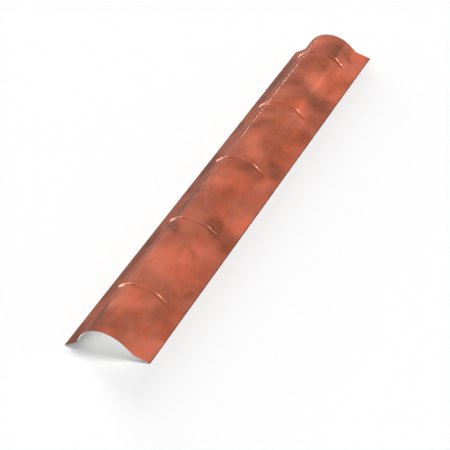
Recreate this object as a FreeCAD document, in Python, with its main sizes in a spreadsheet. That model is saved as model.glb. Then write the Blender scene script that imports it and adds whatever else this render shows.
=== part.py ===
import FreeCAD, Part
import os
from math import acos, cos, radians, sin, sqrt, tan

import Sketcher

# Roof ridge cap: one strip of coated sheet steel, 2 m long, formed into a
# half-round roll with a sloping flange on each side. Five round-nosed beads are
# pressed outwards across the roll, and both long edges are folded under.
# Frame: X runs along the ridge, Z is up, and the cap stands on its two folded
# edges at Z = 0, with the middle of its footprint at the origin.

SIZES = {
    "cap_length": "2000",
    "sheet_thickness": "0.5",
    "roll_radius": "125",
    "roll_half_angle": "53.7",
    "wall_length": "40",
    "flange_width": "69.5",
    "flange_slope": "23.7",
    "bend_radius": "4",
    "hem_width": "10",
    "hem_gap": "0.6",
    "bead_height": "5.5",
    "bead_crest_radius": "10",
    "bead_foot_radius": "5",
    "bead_foot_angle": "20",
    "bead_run_out_radius": "30",
    "bead_end_margin": "2",
    "bead_start": "260",
    "bead_pitch": "400",
}

document = FreeCAD.newDocument("roof_ridge_cap")
sheet = document.addObject("Spreadsheet::Sheet", "Sizes")
for row, (alias, number) in enumerate(SIZES.items(), start=1):
    sheet.set(f"A{row}", alias)
    sheet.set(f"B{row}", number)
    sheet.setAlias(f"B{row}", alias)
document.recompute()


def size(alias):
    return float(sheet.get(alias))


def point(across, up):
    return FreeCAD.Vector(across, up, 0)


# The section's own points, for the half with Y above zero, from the crown
# outwards: the roll, the straight wall below it, the bend out to the flange and
# the fold at the flange's edge. The sketches start from them.

thickness = size("sheet_thickness")
roll_radius = size("roll_radius")
roll_turn = radians(size("roll_half_angle"))
slope = radians(size("flange_slope"))
fold_inner = size("hem_gap") / 2
fold_outer = fold_inner + thickness
flange_flat = size("flange_width") - fold_outer
hem_flat = size("hem_width") - fold_outer
bend_tangent = size("bend_radius") * tan((roll_turn - slope) / 2)

wall_way = point(cos(roll_turn), -sin(roll_turn))
wall_out = point(sin(roll_turn), cos(roll_turn))
flange_way = point(cos(slope), -sin(slope))
flange_out = point(sin(slope), cos(slope))

wall_fall = size("wall_length") * sin(roll_turn)
flange_fall = flange_flat * sin(slope)
fold_fall = fold_outer * (1 + cos(slope))
roll_centre = point(0, wall_fall + flange_fall + fold_fall - roll_radius * cos(roll_turn))
crown = roll_centre + point(0, roll_radius)
wall_top = roll_centre + wall_out * roll_radius
corner = wall_top + wall_way * size("wall_length")
bend_start = corner - wall_way * bend_tangent
bend_end = corner + flange_way * bend_tangent
bend_centre = bend_start + wall_out * size("bend_radius")
flange_edge = corner + flange_way * flange_flat
fold_centre = flange_edge - flange_out * fold_outer
fold_under = fold_centre - flange_out * fold_outer
hem_end = fold_under - flange_way * hem_flat
foot = point(0, hem_end.y)

body = document.addObject("PartDesign::Body", "RidgeCap")
body.Label = "ridge_cap"
origin = {feature.Role: feature for feature in body.Origin.OriginFeatures}

H_AXIS, V_AXIS = range(-1, -3, -1)
START, END, CENTRE = range(1, 4)


def arc(centre, start, end):
    circle = Part.Circle(centre, FreeCAD.Vector(0, 0, 1), centre.distanceToPoint(start))
    return Part.ArcOfCircle(circle, circle.parameter(start), circle.parameter(end))


def new_sketch(name, plane):
    sketch = body.newObject("Sketcher::SketchObject", name)
    sketch.AttachmentSupport = (origin[plane], [""])
    sketch.MapMode = "FlatFace"
    return sketch


def tie(sketch, kind, *ends):
    sketch.addConstraint(Sketcher.Constraint(kind, *ends))


def measure(sketch, name, expression, kind, *ends):
    number = sketch.addConstraint(Sketcher.Constraint(kind, *ends))
    sketch.renameConstraint(number, name)
    sketch.setExpression(f"Constraints.{name}", expression)


def note(sketch, name, kind, *ends):
    # A length that the sketch works out, for other features to read.
    number = sketch.addConstraint(Sketcher.Constraint(kind, *ends, 1))
    sketch.setDriving(number, False)
    sketch.renameConstraint(number, name)


def borrow(sketch, source, numbers):
    # Takes lines of another sketch over as references, in the order asked for.
    for number in numbers:
        line = source.Geometry[number]
        middle = line.value((line.FirstParameter + line.LastParameter) / 2)
        place = Part.Vertex(source.Placement.multVec(middle))
        distances = [edge.distToShape(place)[0] for edge in source.Shape.Edges]
        sketch.addExternal(source.Name, f"Edge{distances.index(min(distances)) + 1}")


# The outside of the half, filled down to the level of the hem's free edge.

FOLD_RADIUS = "(Sizes.hem_gap / 2 + Sizes.sheet_thickness)"
ROLL, WALL, BEND, FLANGE, FOLD, HEM, FOOT, MIDDLE, CORNER = range(9)

outside = new_sketch("outside_outline", "YZ_Plane")
outside.addGeometry([
    arc(roll_centre, wall_top, crown),
    Part.LineSegment(wall_top, bend_start),
    arc(bend_centre, bend_start, bend_end),
    Part.LineSegment(bend_end, flange_edge),
    arc(fold_centre, fold_under, flange_edge),
    Part.LineSegment(fold_under, hem_end),
    Part.LineSegment(hem_end, foot),
    Part.LineSegment(foot, crown),
])
outside.addGeometry(Part.Point(corner), True)
tie(outside, "Tangent", ROLL, START, WALL, START)
tie(outside, "Tangent", WALL, END, BEND, START)
tie(outside, "Tangent", BEND, END, FLANGE, START)
tie(outside, "Tangent", FLANGE, END, FOLD, END)
tie(outside, "Tangent", FOLD, START, HEM, START)
tie(outside, "Coincident", HEM, END, FOOT, START)
tie(outside, "Coincident", FOOT, END, MIDDLE, START)
tie(outside, "Coincident", MIDDLE, END, ROLL, END)
tie(outside, "PointOnObject", ROLL, CENTRE, V_AXIS)
tie(outside, "PointOnObject", MIDDLE, START, V_AXIS)
tie(outside, "PointOnObject", MIDDLE, END, V_AXIS)
tie(outside, "PointOnObject", CORNER, START, WALL)
tie(outside, "PointOnObject", CORNER, START, FLANGE)
tie(outside, "Horizontal", FOOT)
tie(outside, "Parallel", HEM, FLANGE)
tie(outside, "Tangent", FOLD, H_AXIS)
measure(outside, "roll_radius", "Sizes.roll_radius", "Radius", ROLL, roll_radius)
measure(outside, "roll_turn", "-Sizes.roll_half_angle", "Angle", WALL, -roll_turn)
measure(outside, "wall_length", "Sizes.wall_length",
        "Distance", ROLL, START, CORNER, START, size("wall_length"))
measure(outside, "bend_radius", "Sizes.bend_radius", "Radius", BEND, size("bend_radius"))
measure(outside, "slope", "-Sizes.flange_slope", "Angle", FLANGE, -slope)
measure(outside, "flange_flat", f"Sizes.flange_width - {FOLD_RADIUS}",
        "Distance", CORNER, START, FLANGE, END, flange_flat)
measure(outside, "fold_radius", FOLD_RADIUS, "Radius", FOLD, fold_outer)
measure(outside, "hem_flat", f"Sizes.hem_width - {FOLD_RADIUS}",
        "Distance", HEM, START, HEM, END, hem_flat)
note(outside, "crown_height", "DistanceY", H_AXIS, START, ROLL, END)

form = body.newObject("PartDesign::Pad", "outside_form")
form.Profile = outside
form.SideType = "Symmetric"
form.setExpression("Length", "Sizes.cap_length")
document.recompute()


# The path of a bead along the outside of the sheet: from the crown over the
# roll, down the wall, and at its end on an arc that dives under the surface.

bead_height = size("bead_height")
crest_radius = size("bead_crest_radius")
foot_radius = size("bead_foot_radius")
run_out_radius = size("bead_run_out_radius")
taper = sqrt((run_out_radius + bead_height) ** 2 - run_out_radius ** 2)
dive_start = bend_start - wall_way * (size("bead_end_margin") + taper)
dive_centre = dive_start - wall_out * run_out_radius
dive_turn = acos(1 - 2 * bead_height / run_out_radius)
dive_end = dive_centre + (wall_out * cos(dive_turn) + wall_way * sin(dive_turn)) * run_out_radius

BEAD_X = "Sizes.bead_start - Sizes.cap_length / 2"
BEAD_ROOM = "Sizes.cap_length - Sizes.bead_start - Sizes.bead_crest_radius - Sizes.bead_foot_radius"
TAPER = "sqrt((Sizes.bead_run_out_radius + Sizes.bead_height) ^ 2 - Sizes.bead_run_out_radius ^ 2)"
PATH_ROLL, PATH_WALL, PATH_DIVE = range(3)
SHEET_ROLL, SHEET_WALL = range(-3, -5, -1)

path = new_sketch("bead_path", "YZ_Plane")
path.setExpression("AttachmentOffset.Base.z", BEAD_X)
path.addGeometry([
    arc(roll_centre, wall_top, crown),
    Part.LineSegment(wall_top, dive_start),
    arc(dive_centre, dive_end, dive_start),
])
borrow(path, outside, [ROLL, WALL])
tie(path, "Coincident", PATH_ROLL, CENTRE, SHEET_ROLL, CENTRE)
tie(path, "Coincident", PATH_ROLL, END, SHEET_ROLL, END)
tie(path, "Tangent", PATH_ROLL, START, PATH_WALL, START)
tie(path, "Tangent", PATH_WALL, END, PATH_DIVE, END)
tie(path, "Parallel", PATH_WALL, SHEET_WALL)
measure(path, "before_bend", f"Sizes.bead_end_margin + {TAPER}",
        "Distance", PATH_WALL, END, SHEET_WALL, END, size("bead_end_margin") + taper)
measure(path, "run_out_radius", "Sizes.bead_run_out_radius",
        "Radius", PATH_DIVE, run_out_radius)
measure(path, "run_out_depth", "2 * Sizes.bead_height",
        "Distance", PATH_DIVE, START, SHEET_WALL, 2 * bead_height)


# The section of a bead: a round crest and two hollow feet that end just under
# the surface of the sheet. The inner section lies one sheet thickness inside.

FOOT_RISE = "Sizes.bead_foot_radius * cos(Sizes.bead_foot_angle * 1 deg)"
CREST, FOOT_RIGHT, FOOT_LEFT, SIDE_RIGHT, SIDE_LEFT, BASE = range(6)


def bead_section(name, inset, inset_size):
    foot_rise = foot_radius * cos(radians(size("bead_foot_angle")))
    crest_drop = crest_radius - bead_height
    reach = sqrt((crest_radius + foot_radius) ** 2 - (crest_drop + foot_rise) ** 2)
    crest_centre = point(0, -crest_drop)
    foot_centre = point(reach, foot_rise)
    to_foot = (foot_centre - crest_centre).normalize() * (crest_radius - inset)
    shoulder = crest_centre + to_foot
    low = foot_centre - point(0, foot_radius + inset)
    base = point(reach, -bead_height)

    def left(place):
        return point(-place.x, place.y)

    section = new_sketch(name, "XZ_Plane")
    section.setExpression("AttachmentOffset.Base.x", BEAD_X)
    section.setExpression("AttachmentOffset.Base.y", f"{outside.Name}.Constraints.crown_height")
    section.addGeometry([
        arc(crest_centre, shoulder, left(shoulder)),
        arc(foot_centre, shoulder, low),
        arc(left(foot_centre), left(low), left(shoulder)),
        Part.LineSegment(low, base),
        Part.LineSegment(left(low), left(base)),
        Part.LineSegment(base, left(base)),
    ])
    tie(section, "Tangent", CREST, START, FOOT_RIGHT, START)
    tie(section, "Tangent", CREST, END, FOOT_LEFT, END)
    tie(section, "Coincident", FOOT_RIGHT, END, SIDE_RIGHT, START)
    tie(section, "Coincident", FOOT_LEFT, START, SIDE_LEFT, START)
    tie(section, "Coincident", SIDE_RIGHT, END, BASE, START)
    tie(section, "Coincident", SIDE_LEFT, END, BASE, END)
    tie(section, "Vertical", SIDE_RIGHT)
    tie(section, "Vertical", SIDE_LEFT)
    tie(section, "Horizontal", BASE)
    tie(section, "Vertical", FOOT_RIGHT, CENTRE, FOOT_RIGHT, END)
    tie(section, "Vertical", FOOT_LEFT, CENTRE, FOOT_LEFT, START)
    tie(section, "PointOnObject", CREST, CENTRE, V_AXIS)
    tie(section, "Symmetric", FOOT_RIGHT, CENTRE, FOOT_LEFT, CENTRE, V_AXIS)
    measure(section, "crest_radius", f"Sizes.bead_crest_radius - {inset_size}",
            "Radius", CREST, crest_radius - inset)
    measure(section, "foot_radius", f"Sizes.bead_foot_radius + {inset_size}",
            "Radius", FOOT_RIGHT, foot_radius + inset)
    measure(section, "crest_drop", "Sizes.bead_crest_radius - Sizes.bead_height",
            "DistanceY", CREST, CENTRE, H_AXIS, START, crest_drop)
    measure(section, "foot_rise", FOOT_RISE,
            "DistanceY", H_AXIS, START, FOOT_RIGHT, CENTRE, foot_rise)
    measure(section, "base_depth", "Sizes.bead_height",
            "DistanceY", BASE, START, H_AXIS, START, bead_height)
    return section


def bead_row(name, kind, section):
    sweep = body.newObject(kind, name)
    sweep.Profile = section
    sweep.Spine = (path, ["Edge1", "Edge2", "Edge3"])
    row = body.newObject("PartDesign::LinearPattern", f"{name}_row")
    row.Originals = [sweep]
    row.Direction = (origin["X_Axis"], [""])
    row.Mode = "Spacing"
    row.setExpression("Offset", "Sizes.bead_pitch")
    row.setExpression("Occurrences", f"floor(({BEAD_ROOM}) / Sizes.bead_pitch) + 1")
    body.Tip = row


bead_row("bead", "PartDesign::AdditivePipe", bead_section("bead_section", 0, "0"))


# The hollow, one sheet thickness inside the outside all the way round.

roll_in = roll_centre + wall_out * (roll_radius - thickness)
crown_in = crown - point(0, thickness)
bend_start_in = bend_start - wall_out * thickness
bend_end_in = bend_end - flange_out * thickness
fold_top_in = fold_centre + flange_out * fold_inner
fold_under_in = fold_centre - flange_out * fold_inner
hem_end_in = hem_end + flange_out * thickness
HEM_EDGE, IN_FOOT, IN_MIDDLE = range(6, 9)
OUT_ROLL, OUT_WALL, OUT_BEND, OUT_FLANGE, OUT_FOLD, OUT_HEM = range(-3, -9, -1)

inside = new_sketch("inside_outline", "YZ_Plane")
inside.addGeometry([
    arc(roll_centre, roll_in, crown_in),
    Part.LineSegment(roll_in, bend_start_in),
    arc(bend_centre, bend_start_in, bend_end_in),
    Part.LineSegment(bend_end_in, fold_top_in),
    arc(fold_centre, fold_under_in, fold_top_in),
    Part.LineSegment(fold_under_in, hem_end_in),
    Part.LineSegment(hem_end_in, hem_end),
    Part.LineSegment(hem_end, foot),
    Part.LineSegment(foot, crown_in),
])
borrow(inside, outside, [ROLL, WALL, BEND, FLANGE, FOLD, HEM])
tie(inside, "Tangent", ROLL, START, WALL, START)
tie(inside, "Tangent", WALL, END, BEND, START)
tie(inside, "Tangent", BEND, END, FLANGE, START)
tie(inside, "Tangent", FLANGE, END, FOLD, END)
tie(inside, "Tangent", FOLD, START, HEM, START)
tie(inside, "Coincident", HEM, END, HEM_EDGE, START)
tie(inside, "Coincident", HEM_EDGE, END, IN_FOOT, START)
tie(inside, "Coincident", IN_FOOT, END, IN_MIDDLE, START)
tie(inside, "Coincident", IN_MIDDLE, END, ROLL, END)
tie(inside, "Coincident", ROLL, CENTRE, OUT_ROLL, CENTRE)
tie(inside, "Coincident", BEND, CENTRE, OUT_BEND, CENTRE)
tie(inside, "Coincident", FOLD, CENTRE, OUT_FOLD, CENTRE)
tie(inside, "Coincident", HEM_EDGE, END, OUT_HEM, END)
tie(inside, "PointOnObject", IN_MIDDLE, START, V_AXIS)
tie(inside, "PointOnObject", IN_MIDDLE, END, V_AXIS)
tie(inside, "Horizontal", IN_FOOT)
tie(inside, "Parallel", WALL, OUT_WALL)
tie(inside, "Parallel", FLANGE, OUT_FLANGE)
tie(inside, "Parallel", HEM, OUT_HEM)
tie(inside, "Perpendicular", HEM_EDGE, HEM)
measure(inside, "thickness", "Sizes.sheet_thickness",
        "DistanceY", ROLL, END, OUT_ROLL, END, thickness)

hollow = body.newObject("PartDesign::Pocket", "hollow")
hollow.Profile = inside
hollow.SideType = "Symmetric"
hollow.Type = "ThroughAll"
body.Tip = hollow

bead_row("bead_hollow", "PartDesign::SubtractivePipe",
         bead_section("bead_hollow_section", thickness, "Sizes.sheet_thickness"))
document.recompute()


# The other half.

whole = body.newObject("PartDesign::Mirrored", "both_halves")
whole.MirrorPlane = (origin["XZ_Plane"], [""])
whole.TransformMode = "Whole shape"
body.Tip = whole
document.recompute()

for item in document.Objects:
    if "Invalid" in item.State or "Error" in item.State:
        raise RuntimeError(f"{item.Name} failed: {item.State}")
if body.Shape.isNull() or not body.Shape.isValid() or len(body.Shape.Solids) != 1:
    raise RuntimeError(f"{body.Label} is not one valid solid")

os.makedirs("parts", exist_ok=True)
body.Shape.exportStep(f"parts/{body.Label}.step")
box = body.Shape.optimalBoundingBox(False, False)
print(f"{body.Label}: {box.XLength:.1f} x {box.YLength:.1f} x {box.ZLength:.1f} mm, "
      f"{body.Shape.Volume:.0f} mm3")
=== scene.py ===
from math import cos, pi, radians, sin

import bpy
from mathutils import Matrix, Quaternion, Vector


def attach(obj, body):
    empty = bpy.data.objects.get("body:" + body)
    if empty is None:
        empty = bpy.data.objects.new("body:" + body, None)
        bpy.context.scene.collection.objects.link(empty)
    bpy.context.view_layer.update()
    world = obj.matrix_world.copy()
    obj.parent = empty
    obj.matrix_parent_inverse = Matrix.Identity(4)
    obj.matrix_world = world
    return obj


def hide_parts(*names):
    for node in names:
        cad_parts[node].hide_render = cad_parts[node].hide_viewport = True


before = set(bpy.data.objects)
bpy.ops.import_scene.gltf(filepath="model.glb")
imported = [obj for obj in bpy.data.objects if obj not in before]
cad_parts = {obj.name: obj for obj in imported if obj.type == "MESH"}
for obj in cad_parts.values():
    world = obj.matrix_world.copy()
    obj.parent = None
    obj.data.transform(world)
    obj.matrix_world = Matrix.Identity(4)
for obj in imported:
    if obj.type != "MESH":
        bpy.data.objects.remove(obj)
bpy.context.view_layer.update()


# The cap: one strip of steel 0.5 mm thick, zinc coated and painted as a flat coil,
# then bent into roll, walls and flanges and folded under along both edges. The
# five beads are pressed outwards across the roll, one in each 400 mm.

MM = 0.001

cap_sizes = {
    "Beads": 5,
    "Bead pitch": 400 * MM,
    "Bead start": 260 * MM,
    "Sheet thickness": 0.5 * MM,
    "Roll radius": 125 * MM,
    "Roll half angle": radians(53.7),
    "Wall length": 40 * MM,
    "Flange width": 69.5 * MM,
    "Flange slope": radians(23.7),
    "Bend radius": 4 * MM,
    "Hem width": 10 * MM,
    "Hem gap": 0.6 * MM,
    "Bead height": 5.5 * MM,
    "Bead crest radius": 10 * MM,
    "Bead foot radius": 5 * MM,
    "Bead foot angle": radians(20),
    "Bead run-out radius": 30 * MM,
    "Bead end margin": 2 * MM,
    "Ripple height": 0.3 * MM,
}


class Socket:
    """A node's output, for use in Python expressions."""

    def __init__(self, tree, output=None):
        self.tree = tree
        self.output = output

    def add(self, kind, settings=None, sockets=None, output=0):
        node = self.tree.nodes.new(kind)
        for name, value in (settings or {}).items():
            if name == "stops":
                stops = node.color_ramp.elements
                stops.remove(stops[-1])
                for number, (position, colour) in enumerate(value):
                    stop = stops[0] if number == 0 else stops.new(position)
                    stop.position = position
                    stop.color = (*colour, 1)
            elif name == "switch_count":
                while len(node.index_switch_items) < value:
                    node.index_switch_items.new()
            else:
                setattr(node, name, value)
        for key, value in (sockets or {}).items():
            if isinstance(value, Socket):
                self.tree.links.new(value.output, node.inputs[key])
            else:
                node.inputs[key].default_value = value
        return Socket(self.tree, node.outputs[output] if node.outputs else None)

    def math(self, operation, *others):
        terms = dict(enumerate((self, *others)))
        return self.add("ShaderNodeMath", {"operation": operation}, terms)

    def __add__(self, other):
        return self.math("ADD", other)

    def __radd__(self, other):
        return self.math("ADD", other)

    def __sub__(self, other):
        return self.math("SUBTRACT", other)

    def __rsub__(self, other):
        return (self * -1.0).math("ADD", other)

    def __mul__(self, other):
        return self.math("MULTIPLY", other)

    def __rmul__(self, other):
        return self.math("MULTIPLY", other)

    def __truediv__(self, other):
        return self.math("DIVIDE", other)

    def __pow__(self, other):
        return self.math("POWER", other)

    def __neg__(self):
        return self.math("MULTIPLY", -1.0)

    def __abs__(self):
        return self.math("ABSOLUTE")


def cap_tree():
    tree = bpy.data.node_groups.new("Pressed ridge cap", "GeometryNodeTree")
    tree.interface.new_socket("Cap", in_out="OUTPUT", socket_type="NodeSocketGeometry")
    for name in cap_sizes:
        kind = "NodeSocketInt" if name == "Beads" else "NodeSocketFloat"
        tree.interface.new_socket(name, in_out="INPUT", socket_type=kind)
    for name in ("Coat", "Back coat", "Cut edge"):
        tree.interface.new_socket(name, in_out="INPUT", socket_type="NodeSocketMaterial")
    given = tree.nodes.new("NodeGroupInput")
    size = {output.name: Socket(tree, output) for output in given.outputs if output.name}
    make = Socket(tree)

    # The section has straight runs between nine corners. Each corner has its place,
    # its radius and the number of points on its arc. The one high over the crown has
    # the roll's radius.
    fold = size["Hem gap"] / 2 + size["Sheet thickness"]
    roll = size["Roll radius"]
    bend = size["Bend radius"]
    wall_sine = size["Roll half angle"].math("SINE")
    wall_cosine = size["Roll half angle"].math("COSINE")
    flange_sine = size["Flange slope"].math("SINE")
    flange_cosine = size["Flange slope"].math("COSINE")
    centre_up = (size["Wall length"] * wall_sine + (size["Flange width"] - fold) * flange_sine
                 - roll * wall_cosine + fold * (1 + flange_cosine))
    apex_up = centre_up + roll / wall_cosine
    corner_out = roll * wall_sine + size["Wall length"] * wall_cosine
    corner_up = centre_up + roll * wall_cosine - size["Wall length"] * wall_sine
    edge_out = corner_out + size["Flange width"] * flange_cosine
    edge_up = corner_up - size["Flange width"] * flange_sine
    under_out = edge_out - 2 * fold * flange_sine
    under_up = edge_up - 2 * fold * flange_cosine
    hem_out = under_out - size["Hem width"] * flange_cosine
    hem_up = under_up + size["Hem width"] * flange_sine
    half = [
        (hem_out, hem_up, 0.0, 1),
        (under_out, under_up, fold, 5),
        (edge_out, edge_up, fold, 5),
        (corner_out, corner_up, bend, 7),
    ]
    crown = [(0.0, apex_up, roll, 84)]
    other_half = [(-out, up, radius, points) for out, up, radius, points in half]
    corners = other_half + crown + half[::-1]

    index = make.add("GeometryNodeInputIndex")

    def by_corner(data_type, values):
        sockets = {"Index": index, **{number + 1: value for number, value in enumerate(values)}}
        return make.add("GeometryNodeIndexSwitch",
                        {"data_type": data_type, "switch_count": len(values)}, sockets)

    corner_places = [make.add("ShaderNodeCombineXYZ", sockets={1: out, 2: up})
                     for out, up, radius, points in corners]
    line = make.add("GeometryNodeMeshLine", sockets={"Count": len(corners)})
    line = make.add("GeometryNodeSetPosition", sockets={
        "Geometry": line, "Position": by_corner("VECTOR", corner_places)})
    section = make.add("GeometryNodeMeshToCurve", sockets={"Mesh": line})
    section = make.add("GeometryNodeFilletCurve", {"mode": "POLY"}, {
        "Curve": section,
        "Count": by_corner("INT", [corner[3] for corner in corners]),
        "Radius": by_corner("FLOAT", [corner[2] for corner in corners])})

    # The long flat runs get a point every few millimetres.
    spacing = 2.7 * MM
    length = make.add("GeometryNodeSplineParameter", output="Length")
    next_length = make.add("GeometryNodeFieldAtIndex", {"data_type": "FLOAT"}, {
        "Value": length, "Index": index + 1})
    cuts = ((next_length - length) / spacing).math("FLOOR").math("MAXIMUM", 0.0)
    section = make.add("GeometryNodeSubdivideCurve", sockets={"Curve": section, "Cuts": cuts})

    # A flat grid becomes the sheet, and its rows follow the section. Each bead has a
    # cell of columns: close together across the bead's zone, and a few before and
    # after it.
    before, across, after = 5, 24, 3
    zone = 13 * MM
    columns = before + across + after
    column_count = size["Beads"] * columns + 1
    row_count = make.add("GeometryNodeAttributeDomainSize", {"component": "CURVE"}, {
        "Geometry": section}, "Point Count")
    grid = make.add("GeometryNodeMeshGrid", sockets={
        "Size X": column_count - 1, "Size Y": row_count - 1,
        "Vertices X": column_count, "Vertices Y": row_count})
    place = make.add("GeometryNodeInputPosition")
    column = make.add("ShaderNodeSeparateXYZ", sockets={0: place}, output="X")
    column = (column + (column_count - 1) / 2).math("ROUND")
    row = make.add("ShaderNodeSeparateXYZ", sockets={0: place}, output="Y")
    row = (row + (row_count - 1) / 2).math("ROUND")

    cell = (column / columns).math("MINIMUM", size["Beads"] - 0.5).math("FLOOR")
    column_in_cell = column - cell * columns

    def run(first, last, distance):
        return make.add("ShaderNodeMapRange", sockets={
            "Value": column_in_cell, "From Min": first, "From Max": last, "To Max": distance})

    offset = (run(0, before, size["Bead start"] - zone)
              + run(before, before + across, 2 * zone)
              + run(before + across, columns, size["Bead pitch"] - size["Bead start"] - zone))
    along = cell * size["Bead pitch"] + offset - size["Beads"] * size["Bead pitch"] / 2

    def from_section(data_type, value):
        return make.add("GeometryNodeSampleIndex", {"data_type": data_type}, {
            "Geometry": section, "Value": value, "Index": row})

    section_place = from_section("FLOAT_VECTOR", make.add("GeometryNodeInputPosition"))
    tangent = from_section("FLOAT_VECTOR", make.add("GeometryNodeInputTangent"))
    outward = make.add("ShaderNodeVectorMath", {"operation": "CROSS_PRODUCT"}, {
        0: (1, 0, 0), 1: tangent})
    outward = make.add("ShaderNodeVectorMath", {"operation": "NORMALIZE"}, {0: outward})
    whole_length = make.add("GeometryNodeCurveLength", sockets={"Curve": section})
    around = from_section("FLOAT", length) - whole_length / 2

    # A bead's height over the sheet. Its section is a round crest with hollow
    # feet, and towards its ends it turns down on an arc until it is gone.
    crest, foot = size["Bead crest radius"], size["Bead foot radius"]
    foot_rise = foot * size["Bead foot angle"].math("COSINE")
    crest_drop = crest - size["Bead height"]
    reach = ((crest + foot) ** 2 - (crest_drop + foot_rise) ** 2).math("SQRT")
    aside = abs(offset - size["Bead start"])
    on_crest = (crest ** 2 - aside ** 2).math("SQRT") - crest_drop
    on_foot = foot_rise - (foot ** 2 - (reach - aside).math("MAXIMUM", 0.0) ** 2).math("SQRT")
    is_crest = aside.math("LESS_THAN", reach * crest / (crest + foot))
    rise = on_foot + is_crest * (on_crest - on_foot)
    run_out = size["Bead run-out radius"]
    taper = ((run_out + size["Bead height"]) ** 2 - run_out ** 2).math("SQRT")
    bend_tangent = bend * ((size["Roll half angle"] - size["Flange slope"]) / 2).math("TANGENT")
    full_until = (roll * size["Roll half angle"] + size["Wall length"] - bend_tangent
                  - size["Bead end margin"] - taper)
    past = (abs(around) - full_until).math("MAXIMUM", 0.0)
    bead = (((run_out + rise) ** 2 - past ** 2).math("SQRT") - run_out).math("MAXIMUM", 0.0)

    # Roll forming leaves a faint ripple in the middle of each flange.
    flange_start = roll * size["Roll half angle"] + size["Wall length"]
    over_flange = ((abs(around) - flange_start) / size["Flange width"]).math("MAXIMUM", 0.0)
    over_flange = (over_flange.math("MINIMUM", 1.0) * pi).math("SINE")
    per_metre_along, per_metre_around = 5, 14
    middle_ripple = 0.55
    ripple_place = make.add("ShaderNodeCombineXYZ", sockets={
        0: along * per_metre_along, 1: around * per_metre_around})
    ripple = make.add("ShaderNodeTexNoise", sockets={
        "Vector": ripple_place, "Scale": 1.0, "Detail": 1.0})
    lift = bead + (ripple - middle_ripple) * over_flange ** 2 * 2 * size["Ripple height"]

    moved = make.add("ShaderNodeVectorMath", {"operation": "SCALE"}, {0: outward, "Scale": lift})
    moved = make.add("ShaderNodeVectorMath", {"operation": "ADD"}, {0: section_place, 1: moved})
    moved = make.add("ShaderNodeVectorMath", {"operation": "ADD"}, {
        0: moved, 1: make.add("ShaderNodeCombineXYZ", sockets={0: along})})

    # The place of every point on the flat coil stays with the sheet as "coil". The
    # inner face is the outer one, moved in by the sheet's thickness.
    coil = make.add("ShaderNodeCombineXYZ", sockets={0: along, 1: around})
    skin = make.add("GeometryNodeStoreNamedAttribute", {"data_type": "FLOAT_VECTOR"}, {
        "Geometry": grid, "Name": "coil", "Value": coil})
    skin = make.add("GeometryNodeStoreNamedAttribute", {"data_type": "FLOAT_VECTOR"}, {
        "Geometry": skin, "Name": "outward", "Value": outward})
    skin = make.add("GeometryNodeSetPosition", sockets={"Geometry": skin, "Position": moved})
    skin = make.add("GeometryNodeSetShadeSmooth", sockets={0: skin, "Shade Smooth": True})
    inner = make.add("GeometryNodeExtrudeMesh", sockets={
        "Mesh": skin,
        "Offset": make.add("GeometryNodeInputNamedAttribute", {"data_type": "FLOAT_VECTOR"}, {
            "Name": "outward"}),
        "Offset Scale": -size["Sheet thickness"],
        "Individual": False})
    inner_node = inner.output.node
    inner_face = Socket(tree, inner_node.outputs["Top"])
    edge_face = Socket(tree, inner_node.outputs["Side"])
    inner = make.add("GeometryNodeSetShadeSmooth", sockets={
        0: inner, "Selection": edge_face, "Shade Smooth": False})
    inner = make.add("GeometryNodeFlipFaces", sockets={"Mesh": inner})
    joined = make.add("GeometryNodeJoinGeometry", sockets={"Geometry": inner})
    tree.links.new(skin.output, joined.output.node.inputs["Geometry"])
    weld = 0.02 * MM
    joined = make.add("GeometryNodeMergeByDistance", sockets={
        "Geometry": joined, "Distance": weld})

    # The sheared edges are sharp, so the shading doesn't run round them.
    crease = radians(60)
    sharp = make.add("GeometryNodeInputMeshEdgeAngle").math("GREATER_THAN", crease)
    joined = make.add("GeometryNodeSplitEdges", sockets={"Mesh": joined, "Selection": sharp})
    joined = make.add("GeometryNodeRemoveAttribute", sockets={
        "Geometry": joined, "Name": "outward"})
    joined = make.add("GeometryNodeRealizeInstances", sockets={"Geometry": joined})
    joined = make.add("GeometryNodeSetMaterial", sockets={
        "Geometry": joined, "Material": size["Coat"]})
    joined = make.add("GeometryNodeSetMaterial", sockets={
        "Geometry": joined, "Selection": inner_face, "Material": size["Back coat"]})
    joined = make.add("GeometryNodeSetMaterial", sockets={
        "Geometry": joined, "Selection": edge_face, "Material": size["Cut edge"]})
    end = tree.nodes.new("NodeGroupOutput")
    tree.links.new(joined.output, end.inputs["Cap"])
    return tree


def srgb(code):
    """Linear colour of a written one, such as c8644b."""
    parts = [int(code[place:place + 2], 16) / 255 for place in (0, 2, 4)]
    return tuple(part / 12.92 if part <= 0.04045 else ((part + 0.055) / 1.055) ** 2.4
                 for part in parts)


def new_material(name):
    material = bpy.data.materials.new(name)
    material.use_nodes = True
    material.node_tree.nodes.clear()
    return material, Socket(material.node_tree)


def finish_material(make, surface):
    make.add("ShaderNodeOutputMaterial", sockets={"Surface": surface})


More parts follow.
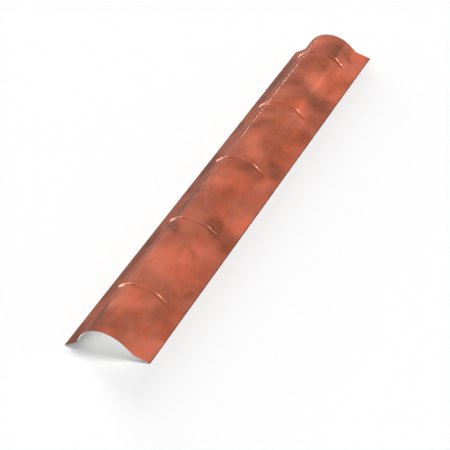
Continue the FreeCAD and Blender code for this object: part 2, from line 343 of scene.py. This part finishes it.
# The print: soft clouds of lighter and darker terracotta over the base coat, put on while the coil
# was flat. The last eight, a row of darker ones along the roll a little left of the crown, are
# painted shade. Each cloud has its place along and around the coil and its radius in millimetres,
# and how much lighter it is.
clouds_and_painted_shade = [
    (-830, -25, 75, 0.34),
    (-760, -95, 60, 0.18),
    (-560, -40, 110, 0.34),
    (-650, -65, 60, 0.15),
    (-950, -185, 95, 0.55),
    (-590, -165, 60, 0.26),
    (-430, -135, 60, 0.22),
    (-225, -190, 75, 0.38),
    (-80, -25, 80, 0.40),
    (-10, -185, 60, 0.18),
    (155, -45, 80, 0.34),
    (30, -165, 60, 0.20),
    (480, -115, 70, 0.26),
    (670, -100, 65, 0.40),
    (860, -200, 90, 0.48),
    (680, -208, 70, 0.42),
    (390, -65, 70, 0.20),
    (950, 30, 65, 0.34),
    (970, -190, 60, 0.35),
    (-965, -45, 60, -0.20),
    (-415, 8, 42, -0.30),
    (-800, -165, 60, -0.24),
    (-840, -205, 45, -0.16),
    (-660, -195, 42, -0.24),
    (-475, -120, 38, -0.20),
    (-605, -80, 35, -0.12),
    (-300, -115, 50, -0.34),
    (-350, -185, 62, -0.28),
    (-230, -30, 50, -0.18),
    (50, -85, 55, -0.26),
    (105, -175, 50, -0.24),
    (300, 0, 50, -0.26),
    (370, -180, 48, -0.30),
    (600, -148, 80, -0.34),
    (560, -208, 40, -0.25),
    (620, -5, 60, -0.26),
    (800, -35, 85, -0.22),
    (940, -90, 75, -0.26),
    (862, -100, 40, -0.18),
    (-950, 200, 80, -0.22),
    (-700, 195, 60, -0.12),
    (-420, 200, 60, -0.28),
    (-290, 195, 60, 0.10),
    (100, 200, 80, -0.22),
    (560, 205, 70, -0.12),
    (800, 205, 110, -0.25),
    (-820, 110, 80, 0.15),
    (-250, 110, 70, -0.20),
    (330, 115, 90, 0.18),
    (700, 100, 70, -0.20),
    # A row of darker clouds along the roll, a little left of the crown: painted shade.
    (-965, 34, 65, -0.36),
    (-880, 40, 55, -0.24),
    (-815, 30, 45, -0.24),
    (-400, 30, 45, -0.26),
    (-265, 32, 50, -0.18),
    (-180, 30, 40, -0.16),
    (300, 30, 50, -0.20),
    (400, 32, 45, -0.16),
]

coat, make = new_material("Printed terracotta coat with painted shading")
coil = make.add("ShaderNodeAttribute", {"attribute_name": "coil"}, output="Vector")
along = make.add("ShaderNodeSeparateXYZ", sockets={0: coil}, output="X")
around = make.add("ShaderNodeSeparateXYZ", sockets={0: coil}, output="Y")


def noise(place, scale, detail=2.0, roughness=0.5, seed=0.0, output=0):
    """Noise for the material that is being made, moved aside by its seed."""
    moved = make.add("ShaderNodeVectorMath", {"operation": "ADD"}, {
        0: place, 1: (seed, -seed, seed)})
    return make.add("ShaderNodeTexNoise", sockets={
        "Vector": moved, "Scale": scale, "Detail": detail, "Roughness": roughness}, output=output)


# Noise moves the clouds' outlines about. A broad noise, a finer one and the clouds
# add up to the tone: a cloud is full inside its core and gone at its rim.
wander = 0.14
core, rim = 0.1, 1.25
drift = noise(coil, 10, 2.0, 0.5, 3.1, "Color")
drift = make.add("ShaderNodeVectorMath", {"operation": "SUBTRACT"}, {0: drift, 1: (0.5, 0.5, 0.5)})
drift = make.add("ShaderNodeVectorMath", {"operation": "MULTIPLY"}, {
    0: drift, 1: (wander, wander, 0)})
drifted = make.add("ShaderNodeVectorMath", {"operation": "ADD"}, {0: coil, 1: drift})

broad_noise = (noise(coil, 9, 2.0, 0.5, 7.7) - 0.5) * 0.9
finer_noise = (noise(coil, 28, 2.0, 0.5, 1.3) - 0.5) * 0.3
print_and_shading_tone = broad_noise + finer_noise
for cloud_along, cloud_around, radius, lighter in clouds_and_painted_shade:
    distance = make.add("ShaderNodeVectorMath", {"operation": "DISTANCE"}, {
        0: drifted, 1: (cloud_along * MM, cloud_around * MM, 0)}, "Value")
    cloud = make.add("ShaderNodeMapRange", {"interpolation_type": "SMOOTHSTEP"}, {
        "Value": distance, "From Min": core * radius * MM, "From Max": rim * radius * MM,
        "To Min": lighter, "To Max": 0.0})
    print_and_shading_tone = print_and_shading_tone + cloud


def shading_fade(value, first, last, height):
    """From 0 to height while value goes from first to last, in millimetres; it lays painted light
    and shade across the section.
    """
    return make.add("ShaderNodeMapRange", {"interpolation_type": "SMOOTHSTEP"}, {
        "Value": value, "From Min": first * MM, "From Max": last * MM, "To Max": height})


# The tone is painted lighter towards the crown and on the right flange, and darker on the roll's
# left side and in two steps on the left flange: painted light and painted shade laid over the
# print.
middle_tone = 0.46
print_and_shading_tone = (print_and_shading_tone + shading_fade(around, -90, -15, 0.18) + shading_fade(around, 18, 50, -0.30)
        + shading_fade(around, 160, 175, -0.07) + shading_fade(around, 185, 205, -0.08)
        + shading_fade(around, -145, -165, 0.09) + middle_tone)

# The print has a vivid ramp and a duller one, which shows in patches. From the roll's right side up
# to the crown and all over the left side, more of the duller one is mixed in: a painted pale sheen.
vivid_print_and_shading = make.add("ShaderNodeValToRGB", {"stops": [
    (0.0, srgb("7d412d")),
    (0.5, srgb("ac573e")),
    (1.0, srgb("d16b50")),
]}, {0: print_and_shading_tone})
dull_print_and_shading = make.add("ShaderNodeValToRGB", {"stops": [
    (0.0, srgb("7a4735")),
    (0.5, srgb("a95f4a")),
    (1.0, srgb("cb7058")),
]}, {0: print_and_shading_tone})
dull_patches_and_sheen = make.add("ShaderNodeMapRange", {"interpolation_type": "SMOOTHSTEP"}, {
    "Value": noise(coil, 8, 3.0, 0.6, 4.4), "From Min": 0.35, "From Max": 0.65})
dull_patches_and_sheen = (dull_patches_and_sheen + shading_fade(around, -90, 5, 0.5)).math("MINIMUM", 1.0)
print_with_painted_light = make.add("ShaderNodeMix", {"data_type": "RGBA"}, {
    0: dull_patches_and_sheen, 6: vivid_print_and_shading, 7: dull_print_and_shading}, 2)

# Along the fold at each flange's outer edge the colour turns a dark grey-brown: painted shade along
# the fold.
fold_at = (cap_sizes["Roll radius"] * cap_sizes["Roll half angle"] + cap_sizes["Wall length"]
           + cap_sizes["Flange width"])
to_fold = abs(abs(around) - (fold_at - 0.4 * MM))
fold_shade = make.add("ShaderNodeMapRange", {"interpolation_type": "SMOOTHSTEP"}, {
    "Value": to_fold, "From Min": 2.2 * MM, "From Max": 4.5 * MM, "To Min": 0.8, "To Max": 0.0})
painted = make.add("ShaderNodeMix", {"data_type": "RGBA"}, {
    0: fold_shade, 6: print_with_painted_light, 7: (*srgb("5a4238"), 1)}, 2)

# Under its gloss the coat has the fine orange peel of sprayed and rolled paint.
peel = make.add("ShaderNodeBump", sockets={
    "Height": noise(coil, 700, 1.0, 0.5, 0.9), "Strength": 0.06, "Distance": 0.1 * MM})
finish_material(make, make.add("ShaderNodeBsdfPrincipled", sockets={
    "Base Color": painted,
    "Metallic": 0.1,
    "Roughness": 0.14 + noise(coil, 40, 2.0, 0.5, 5.0) * 0.04,
    "Specular IOR Level": 0.0,
    "Coat Weight": 0.07,
    "Coat Roughness": 0.12,
    "Normal": peel,
}))

# The back coat: a thin pale grey wash over the zinc, slightly cloudy and duller.
back_coat, make = new_material("Grey back coat")
coil = make.add("ShaderNodeAttribute", {"attribute_name": "coil"}, output="Vector")
wash = make.add("ShaderNodeMix", {"data_type": "RGBA"}, {
    0: noise(coil, 22, 3.0, 0.6, 2.6), 6: (0.84, 0.84, 0.83, 1), 7: (0.90, 0.90, 0.89, 1)}, 2)
grain = make.add("ShaderNodeBump", sockets={
    "Height": noise(coil, 900, 2.0, 0.5, 6.1), "Strength": 0.1, "Distance": 0.1 * MM})
finish_material(make, make.add("ShaderNodeBsdfPrincipled", sockets={
    "Base Color": wash,
    "Roughness": 0.45 + noise(coil, 60, 2.0, 0.5, 8.3) * 0.2,
    "Normal": grain,
}))

# The cut edges: bare steel between two zinc skins, with marks from the shear.
cut_edge, make = new_material("Cut steel edge")
place = make.add("ShaderNodeTexCoord", output="Object")
sheared = make.add("ShaderNodeVectorMath", {"operation": "MULTIPLY"}, {0: place, 1: (40, 900, 900)})
marks = noise(sheared, 1.0, 3.0, 0.6, 1.7)
steel = make.add("ShaderNodeMix", {"data_type": "RGBA"}, {
    0: marks, 6: (0.42, 0.41, 0.40, 1), 7: (0.72, 0.71, 0.70, 1)}, 2)
finish_material(make, make.add("ShaderNodeBsdfPrincipled", sockets={
    "Base Color": steel,
    "Metallic": 1.0,
    "Roughness": 0.35 + marks * 0.25,
    "Normal": make.add("ShaderNodeBump", sockets={
        "Height": marks, "Strength": 0.3, "Distance": 0.05 * MM}),
}))

# The tree gets its sizes and finishes, and its result becomes a plain mesh.
tree = cap_tree()
blank = bpy.data.meshes.new("ridge_cap_sheet")
cap = bpy.data.objects.new("ridge_cap_sheet", blank)
bpy.context.scene.collection.objects.link(cap)
modifier = cap.modifiers.new("Pressed ridge cap", "NODES")
modifier.node_group = tree
values = {**cap_sizes, "Coat": coat, "Back coat": back_coat, "Cut edge": cut_edge}
for item in tree.interface.items_tree:
    if item.in_out == "INPUT":
        modifier[item.identifier] = values[item.name]
depsgraph = bpy.context.evaluated_depsgraph_get()
pressed = bpy.data.meshes.new_from_object(cap.evaluated_get(depsgraph), depsgraph=depsgraph)
cap.modifiers.remove(modifier)
cap.data = pressed
pressed.materials.pop(index=0)
bpy.data.meshes.remove(blank)
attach(cap, "root")
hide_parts("ridge_cap")


# The floor: a plain white surface that the cap lies on. It runs on past the
# camera's view on every side.

floor_mesh = bpy.data.meshes.new("floor")
reach = 60.0
floor_corners = [(-reach, -reach, 0), (reach, -reach, 0), (reach, reach, 0), (-reach, reach, 0)]
floor_mesh.from_pydata(floor_corners, [], [(0, 1, 2, 3)])
floor = bpy.data.objects.new("floor", floor_mesh)
bpy.context.scene.collection.objects.link(floor)
floor_material, make = new_material("White floor")
finish_material(make, make.add("ShaderNodeBsdfDiffuse", sockets={"Color": (0.95, 0.95, 0.95, 1)}))
floor_mesh.materials.append(floor_material)


# The light: an even surround that looks white, a soft key from the right, a lower
# lamp from the far left that lays the shadow to the right and before the near end,
# and softboxes that only the coat's gloss shows.

world = bpy.data.worlds.new("Studio")
bpy.context.scene.world = world
world.use_nodes = True
world.node_tree.nodes.clear()
make = Socket(world.node_tree)
camera_ray = make.add("ShaderNodeLightPath", output="Is Camera Ray")
kinds_of_ray = camera_ray.output.node.outputs
glossy_ray = Socket(world.node_tree, kinds_of_ray["Is Glossy Ray"])
passing_ray = Socket(world.node_tree, kinds_of_ray["Is Transmission Ray"])
surround = make.add("ShaderNodeBackground", sockets={"Color": (1, 1, 1, 1), "Strength": 0.40})
white = make.add("ShaderNodeBackground", sockets={"Color": (1, 1, 1, 1), "Strength": 1.0})
seen = make.add("ShaderNodeMixShader", sockets={
    0: (camera_ray + glossy_ray + passing_ray).math("MINIMUM", 1.0), 1: surround, 2: white})
make.add("ShaderNodeOutputWorld", sockets={"Surface": seen})


def direction(azimuth, elevation):
    """Unit vector towards a lamp; azimuth 0 is along +X, 90 along +Y."""
    across = cos(radians(elevation))
    up = sin(radians(elevation))
    return Vector((across * cos(radians(azimuth)), across * sin(radians(azimuth)), up))


def lamp(name, kind, azimuth, elevation, away):
    """A lamp that faces the origin and that the camera doesn't show."""
    data = bpy.data.lights.new(name, kind)
    fitting = bpy.data.objects.new(name, data)
    fitting.location = direction(azimuth, elevation) * away
    fitting.rotation_euler = direction(azimuth, elevation).to_track_quat("Z", "Y").to_euler()
    fitting.visible_camera = False
    bpy.context.scene.collection.objects.link(fitting)
    return fitting, data


def broad_light(name, azimuth, elevation, level, softness):
    """A sun of so many degrees across that the gloss doesn't show."""
    away = 12.0
    fitting, data = lamp(name, "SUN", azimuth, elevation, away)
    data.energy = level * pi
    data.angle = radians(softness)
    fitting.visible_glossy = False


def glint(name, azimuth, elevation, wide, tall, brightness):
    """A softbox for the gloss, so far away that it looks the same all along the cap."""
    away = 50.0
    fitting, data = lamp(name, "AREA", azimuth, elevation, away)
    data.shape = "RECTANGLE"
    data.color = (0.85, 0.96, 1.0)
    data.size = away * radians(wide)
    data.size_y = away * radians(tall)
    data.energy = brightness * pi * data.size * data.size_y
    fitting.visible_diffuse = False


broad_light("key", -72, 52, 0.65, 25)
broad_light("far_left", 52, 15, 0.52, 20)

# The first four softboxes shine on the beads' left sides and tops, the fifth on
# their right ends, and the last three draw the light line along the ridge.
glint("bead_left_low", 92, 12, 50, 20, 34)
glint("bead_left_middle", 80, 32, 36, 20, 20)
glint("bead_left_high", 76, 54, 30, 24, 4)
glint("bead_top", 0, 90, 44, 44, 3)
glint("bead_right", -25.5, 13, 11, 14, 150)
glint("ridge_far", 43.2, 7.8, 4.6, 1.0, 50)
glint("ridge_middle", 48.5, 7.4, 6, 1.0, 17)
glint("ridge_near", 54.5, 7.9, 6, 1.0, 22)

# One more lamp lies under the near end and lights the back coat from the floor.
under_length, under_width, under_level = 0.30, 0.14, 1.25
under_data = bpy.data.lights.new("under_cap", "AREA")
under_data.shape = "RECTANGLE"
under_data.size = under_length
under_data.size_y = under_width
under_data.energy = under_level * pi * under_length * under_width
under = bpy.data.objects.new("under_cap", under_data)
under.location = (-0.86, 0, 0.004)
under.rotation_euler = (pi, 0, 0)
under.visible_camera = False
under.visible_glossy = False
bpy.context.scene.collection.objects.link(under)


# The camera stands beyond the near end's right side, looks down on the cap and
# is turned so that the ridge climbs the picture as in the photograph.

camera_data = bpy.data.cameras.new("camera")
camera_data.sensor_width = 36
camera_data.lens = 108.5
camera_data.clip_end = 200
camera = bpy.data.objects.new("camera", camera_data)
camera_place = Vector((-3.640, -2.689, 3.179))
camera_aim = Vector((-0.291, -0.134, 0.060))
camera_turn = radians(-15.53)
camera.location = camera_place
camera.rotation_mode = "QUATERNION"
camera.rotation_quaternion = ((camera_aim - camera_place).to_track_quat("-Z", "Y")
                              @ Quaternion((0, 0, 1), camera_turn))
bpy.context.scene.collection.objects.link(camera)
bpy.context.scene.camera = camera

bpy.context.scene.view_settings.view_transform = "Standard"
